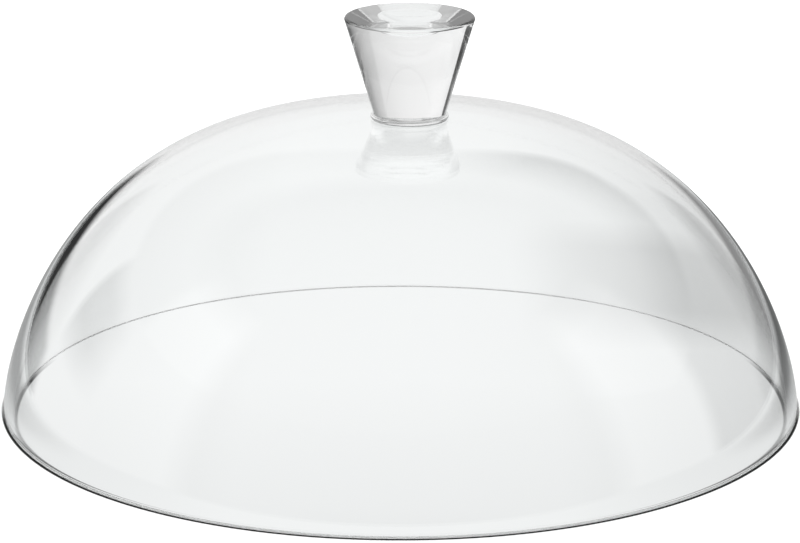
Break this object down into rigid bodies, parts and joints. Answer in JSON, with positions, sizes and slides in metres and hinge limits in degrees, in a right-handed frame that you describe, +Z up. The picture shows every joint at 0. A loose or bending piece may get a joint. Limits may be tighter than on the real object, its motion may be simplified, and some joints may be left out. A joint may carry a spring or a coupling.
{
  "type": "glass cake dome",
  "caption": "Clear glass dome lid with a solid glass knob; lowers over a cake on a stand or plate to cover it.",
  "frame": {"origin": "centre of the rim's ground underside, on the plane that the dome rests on", "axes": "+Z up along the dome's own axis, from the rim to the knob; +X points from that axis to the knob's axis, which is parallel to it and 3.5 mm off; +Y completes the frame"},
  "size_m": [0.31, 0.31, 0.1527],
  "materials": {
    "dome_glass": "clear pressed glass, fire polished, with a faint grey-green tint",
    "knob_glass": "clear solid pressed glass, fire polished",
    "bond": "cured clear adhesive, slightly grey at its edge"
  },
  "bodies": {
    "root": {"dome_shell": "dome_glass", "knob": "knob_glass", "bond_film": "bond"}
  },
  "joints": []
}
